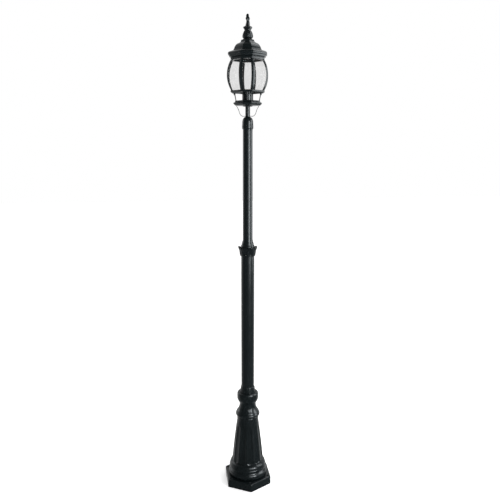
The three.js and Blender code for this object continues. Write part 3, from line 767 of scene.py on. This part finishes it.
def build_screws():
    """Socket set screws: a short plug with a chamfered rim and a six-sided recess."""
    for body, stem, radius, half in (("post", "coupling_screw", 2.5, 2.8), ("head", "cap_screw", 2.0, 1.7)):
        for i in range(3):
            node = f"{stem}_{i + 1}"
            lo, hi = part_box(node)
            mid = (lo + hi) / 2 / MM
            out = Vector((mid.x, mid.y, 0)).normalized()
            side, up = np.array([-out.y, out.x, 0]), np.array([0, 0, 1])
            centre, axis = np.array(mid), np.array(out)
            rings = []
            for along, r in ((-half, radius * 0.7), (-half + 0.6, radius), (half - 0.4, radius),
                             (half, radius * 0.86), (half, radius * 0.55), (half - 1.2, radius * 0.5)):
                rings.append([centre + axis * along + r * (math.cos(a) * side + math.sin(a) * up)
                              for a in np.arange(24) * TAU / 24])
            piece(f"set_{node}", body, [lofted(rings)], ZINC, [node])


for build in (build_foot, build_cone, build_neck, build_drum, build_leaf_collar, build_tubes,
              build_coupling, build_cap, build_saucer, build_holder, build_legs, build_scrolls,
              build_rim_and_frame, build_ribs, build_panes, build_roof, build_finial, build_screws):
    build()

CARRIED = {"joint_sleeve": ZINC, "crossbar": CAST, "roof_stud": ZINC, "finial_washer": RUBBER}
for node, material in CARRIED.items():
    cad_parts[node].data.materials.clear()
    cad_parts[node].data.materials.append(material)


# ---- studio -------------------------------------------------------------------------------------
FLOOR_GLOW = (0.58, 0.95)         # painted light: glow of the floor near the post and far from it; the weaker glow near the post paints shade round the post's foot


def build_floor():
    mesh = bpy.data.meshes.new("floor")
    s = 14.0
    mesh.from_pydata([(-s, -s, 0), (s, -s, 0), (s, s, 0), (-s, s, 0)], [], [(0, 1, 2, 3)])
    floor = bpy.data.objects.new("floor", mesh)
    floor.location.z = -0.0006
    bpy.context.scene.collection.objects.link(floor)
    mat, bsdf = new_material("pale_floor")
    links = mat.node_tree.links
    links.new(ramp(mat, noise(mat, 1.5, 2.0), [(0.3, 0.86), (0.7, 0.9)]), bsdf.inputs["Base Color"])
    bsdf.inputs["Roughness"].default_value = 0.9
    bsdf.inputs["Specular IOR Level"].default_value = 0.1
    bsdf.inputs["Emission Color"].default_value = (1, 1, 1, 1)
    coord = mat.node_tree.nodes.new("ShaderNodeTexCoord")
    reach = mat.node_tree.nodes.new("ShaderNodeVectorMath")
    reach.operation = "LENGTH"
    glow = mat.node_tree.nodes.new("ShaderNodeMapRange")
    glow.interpolation_type = "SMOOTHSTEP"
    glow.inputs["From Min"].default_value, glow.inputs["From Max"].default_value = 0.5, 8.0
    glow.inputs["To Min"].default_value, glow.inputs["To Max"].default_value = FLOOR_GLOW
    links.new(coord.outputs["Object"], reach.inputs[0])
    links.new(reach.outputs["Value"], glow.inputs["Value"])
    # painted light: the floor glows though it is no lamp, dimmer near the post (painted shade round its foot)
    # and brighter far away
    links.new(glow.outputs[0], bsdf.inputs["Emission Strength"])
    mesh.materials.append(mat)
    floor.visible_glossy = False


def softbox(name, deg, distance, height, aim_z, width, tall, power):
    """Rectangular light standing round the post, aimed at its axis."""
    light = bpy.data.lights.new(name, "AREA")
    light.shape, light.size, light.size_y = "RECTANGLE", width, tall
    light.energy = power
    obj = bpy.data.objects.new(name, light)
    obj.location = polar(distance, deg, height)
    aim = Vector((0, 0, aim_z)) - obj.location
    obj.rotation_euler = aim.to_track_quat("-Z", "Y").to_euler()
    bpy.context.scene.collection.objects.link(obj)


def build_world():
    """White to the camera; for everything else bright behind the lantern and dim in front."""
    world = bpy.data.worlds.new("studio")
    bpy.context.scene.world = world
    world.use_nodes = True
    nodes, links = world.node_tree.nodes, world.node_tree.links
    nodes.clear()
    coord = nodes.new("ShaderNodeTexCoord")
    split = nodes.new("ShaderNodeSeparateXYZ")
    spread = nodes.new("ShaderNodeMapRange")
    spread.inputs["From Min"].default_value = -0.1
    spread.inputs["From Max"].default_value = 0.8
    spread.inputs["To Min"].default_value = 0.1
    spread.inputs["To Max"].default_value = 1.0
    path = nodes.new("ShaderNodeLightPath")
    dim = nodes.new("ShaderNodeBackground")
    white = nodes.new("ShaderNodeBackground")
    white.inputs["Color"].default_value = (1, 1, 1, 1)
    white.inputs["Strength"].default_value = 1.0
    mix = nodes.new("ShaderNodeMixShader")
    out = nodes.new("ShaderNodeOutputWorld")
    links.new(coord.outputs["Generated"], split.inputs[0])
    links.new(split.outputs["Y"], spread.inputs["Value"])
    links.new(spread.outputs[0], dim.inputs["Strength"])
    links.new(path.outputs["Is Camera Ray"], mix.inputs[0])
    links.new(dim.outputs[0], mix.inputs[1])
    links.new(white.outputs[0], mix.inputs[2])
    links.new(mix.outputs[0], out.inputs[0])


# degrees and metres; the focal length and the sideways shift count in sensor widths
CAMERA_TURN, CAMERA_DISTANCE, CAMERA_HEIGHT = -8.3, 2.751, 1.782
CAMERA_PITCH, FOCAL_IN_WIDTHS, AXIS_LEFT = 11.0, 1.132, 0.0046


def build_camera():
    data = bpy.data.cameras.new("camera")
    data.lens = data.sensor_width * FOCAL_IN_WIDTHS
    data.shift_x = AXIS_LEFT
    camera = bpy.data.objects.new("camera", data)
    camera.location = polar(CAMERA_DISTANCE, CAMERA_TURN, CAMERA_HEIGHT)
    camera.rotation_euler = (math.radians(90 - CAMERA_PITCH), 0, math.radians(CAMERA_TURN))
    bpy.context.scene.collection.objects.link(camera)
    bpy.context.scene.camera = camera


build_floor()
build_world()
# name, direction, distance, height, height aimed at, width, height of the box, power
softbox("key_wide", 16, 3.4, 1.75, 1.55, 1.3, 2.4, 36)
softbox("key_bright", 35, 3.2, 1.75, 1.55, 0.66, 2.4, 80)
softbox("side_right", 84, 3.0, 2.0, 1.6, 1.4, 2.9, 66)
softbox("above_right", 118, 2.0, 4.4, 2.2, 2.0, 2.0, 26)
softbox("side_left", -130, 3.2, 1.8, 1.2, 1.2, 2.6, 14)
build_camera()

view = bpy.context.scene.view_settings
view.view_transform = "Standard"
view.look = "None"
view.exposure = 0.0
view.gamma = 1.0
